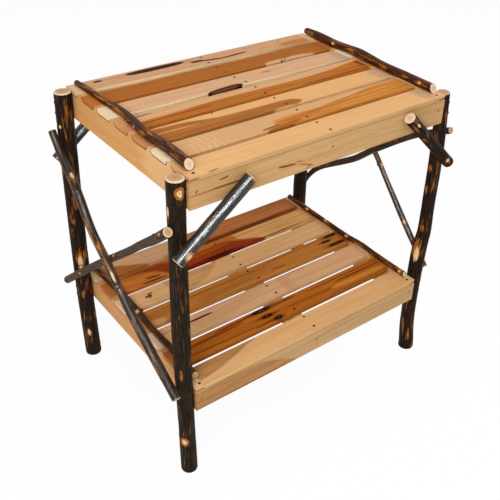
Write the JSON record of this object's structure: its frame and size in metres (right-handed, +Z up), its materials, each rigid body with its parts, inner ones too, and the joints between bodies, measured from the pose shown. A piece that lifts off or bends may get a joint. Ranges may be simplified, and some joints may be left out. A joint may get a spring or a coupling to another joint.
{
  "type": "rustic hickory side table with a lower shelf",
  "caption": "Rustic side table: a slatted hickory top and lower shelf carried on bark-on poles, with bark-on corner braces, crossing end sticks and rails along the ends.",
  "frame": {"origin": "on the floor under the middle of the top deck", "axes": "+X along the slats to the right, +Y from front to back, +Z up"},
  "size_m": [0.7203, 0.5193, 0.7068],
  "materials": {
    "slat_wood": "satin clear varnish over mixed sapwood and heartwood hickory",
    "apron_wood": "satin clear varnish over pale hickory",
    "bark": "semi-gloss clear varnish over dark hickory bark",
    "nail_steel": "dull dark wire nail"
  },
  "bodies": {
    "root": {"leg_front_left": "bark", "leg_front_right": "bark", "leg_back_left": "bark", "leg_back_right": "bark", "brace_front_left": "bark", "brace_front_right": "bark", "brace_back_left": "bark", "brace_back_right": "bark", "left_diagonal": "bark", "left_twig": "bark", "right_diagonal": "bark", "right_twig": "bark", "top_rail_left": "bark", "top_rail_right": "bark", "shelf_rail_left": "bark", "shelf_rail_right": "bark", "top_slat_1": "slat_wood", "top_slat_2": "slat_wood", "top_slat_3": "slat_wood", "top_slat_4": "slat_wood", "top_slat_5": "slat_wood", "top_slat_6": "slat_wood", "top_slat_7": "slat_wood", "top_apron_front": "apron_wood", "top_apron_back": "apron_wood", "top_apron_left": "apron_wood", "top_apron_right": "apron_wood", "top_batten": "apron_wood", "shelf_slat_1": "slat_wood", "shelf_slat_2": "slat_wood", "shelf_slat_3": "slat_wood", "shelf_slat_4": "slat_wood", "shelf_slat_5": "slat_wood", "shelf_slat_6": "slat_wood", "shelf_slat_7": "slat_wood", "shelf_apron_front": "apron_wood", "shelf_apron_back": "apron_wood", "shelf_apron_left": "apron_wood", "shelf_apron_right": "apron_wood", "shelf_batten": "apron_wood", "leg_nails": "nail_steel"}
  },
  "joints": []
}
